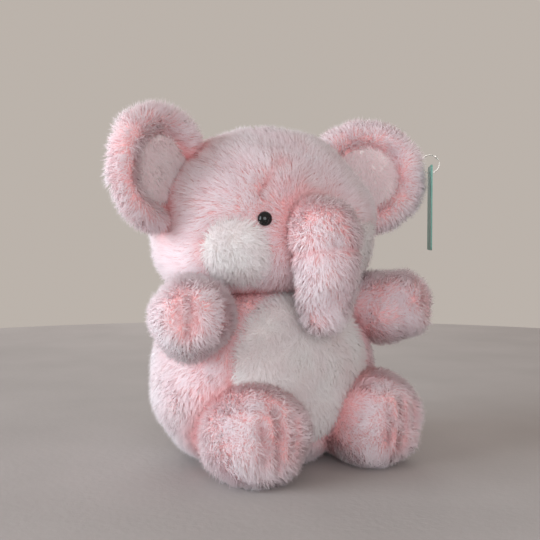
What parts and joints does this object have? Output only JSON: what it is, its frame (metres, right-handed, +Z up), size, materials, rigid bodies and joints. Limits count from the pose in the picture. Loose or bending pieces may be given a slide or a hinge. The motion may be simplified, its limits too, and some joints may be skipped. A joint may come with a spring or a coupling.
{
  "type": "stuffed elephant",
  "caption": "Seated plush elephant with round cupped ears, hanging trunk, cheek and belly patches, splayed arms and legs, and a hang tag",
  "frame": {"origin": "centre of the flat seat under the torso, on the surface that the toy sits on", "axes": "+Z up, the toy faces -Y, its left side is at +X"},
  "size_m": [0.2552, 0.1923, 0.2345],
  "materials": {
    "pink_plush": "long soft pile, matt",
    "white_plush": "short dense pile, matt",
    "fibre_fill": "loose polyester fibre",
    "cotton_bag": "plain woven cotton",
    "satin_label": "satin ribbon",
    "eye_gloss": "polished",
    "washer_plastic": "moulded",
    "clear_nylon": "drawn nylon",
    "teal_card": "uncoated printed card"
  },
  "bodies": {
    "torso": {"torso_skin": "pink_plush", "belly_panel": "white_plush", "torso_stuffing": "fibre_fill", "pellet_bag": "cotton_bag", "care_label": "satin_label"},
    "neck": {"neck_stuffing": "fibre_fill"},
    "head": {"head_skin": "pink_plush", "head_stuffing": "fibre_fill", "cheek_patch_left": "white_plush", "cheek_patch_right": "white_plush", "eye_left": "eye_gloss", "eye_right": "eye_gloss", "eye_washer_left": "washer_plastic", "eye_washer_right": "washer_plastic"},
    "trunk": {"trunk_skin": "pink_plush", "trunk_stuffing": "fibre_fill"},
    "ear_left": {"ear_left_skin": "pink_plush", "ear_left_padding": "fibre_fill", "ear_left_patch": "white_plush", "tag_loop": "clear_nylon"},
    "ear_right": {"ear_right_skin": "pink_plush", "ear_right_padding": "fibre_fill", "ear_right_patch": "white_plush"},
    "arm_left": {"arm_left_skin": "pink_plush", "arm_left_stuffing": "fibre_fill"},
    "arm_right": {"arm_right_skin": "pink_plush", "arm_right_stuffing": "fibre_fill"},
    "leg_left": {"leg_left_skin": "pink_plush", "leg_left_stuffing": "fibre_fill"},
    "leg_right": {"leg_right_skin": "pink_plush", "leg_right_stuffing": "fibre_fill"},
    "tail": {"tail_skin": "pink_plush", "tail_tuft": "pink_plush"},
    "tag": {"hang_tag": "teal_card"}
  },
  "joints": [
    {"name": "neck_nod", "type": "hinge", "parent": "torso", "child": "neck", "pos_m": [0, 0.006, 0.116], "axis": [1, 0, 0], "range_deg": [-12, 2], "stiffness_Nm_per_rad": 2},
    {"name": "head_turn", "type": "hinge", "parent": "neck", "child": "head", "pos_m": [0, 0.006, 0.116], "axis": [0, 0, 1], "range_deg": [-12, 12], "stiffness_Nm_per_rad": 1},
    {"name": "trunk_lift", "type": "hinge", "parent": "head", "child": "trunk", "pos_m": [0, -0.05, 0.158], "axis": [-1, 0, 0], "range_deg": [0, 65], "stiffness_Nm_per_rad": 0.15},
    {"name": "ear_left_fold", "type": "hinge", "parent": "head", "child": "ear_left", "pos_m": [0.06, 0.007, 0.19], "axis": [0, 0, 1], "range_deg": [-22, 22], "stiffness_Nm_per_rad": 0.12},
    {"name": "ear_right_fold", "type": "hinge", "parent": "head", "child": "ear_right", "pos_m": [-0.06, 0.007, 0.19], "axis": [0, 0, -1], "range_deg": [-22, 22], "stiffness_Nm_per_rad": 0.12},
    {"name": "arm_left_swing", "type": "hinge", "parent": "torso", "child": "arm_left", "pos_m": [0.058, -0.006, 0.099], "axis": [-0.8387, -0.5446, 0], "range_deg": [-9, 14], "stiffness_Nm_per_rad": 0.25},
    {"name": "arm_right_swing", "type": "hinge", "parent": "torso", "child": "arm_right", "pos_m": [-0.058, -0.006, 0.099], "axis": [-0.8387, 0.5446, 0], "range_deg": [-9, 14], "stiffness_Nm_per_rad": 0.25},
    {"name": "leg_left_lift", "type": "hinge", "parent": "torso", "child": "leg_left", "pos_m": [0.038, -0.008, 0.029], "axis": [-1, 0, 0], "range_deg": [0, 14], "stiffness_Nm_per_rad": 0.4},
    {"name": "leg_right_lift", "type": "hinge", "parent": "torso", "child": "leg_right", "pos_m": [-0.038, -0.008, 0.029], "axis": [-1, 0, 0], "range_deg": [0, 14], "stiffness_Nm_per_rad": 0.4},
    {"name": "tail_swing", "type": "hinge", "parent": "torso", "child": "tail", "pos_m": [0, 0.068, 0.042], "axis": [0, 0, 1], "range_deg": [-25, 25], "stiffness_Nm_per_rad": 0.02},
    {"name": "tag_swing", "type": "hinge", "parent": "ear_left", "child": "tag", "pos_m": [0.1222, -0.0231, 0.196], "axis": [0.788, -0.6157, 0], "range_deg": [-45, 45]}
  ]
}
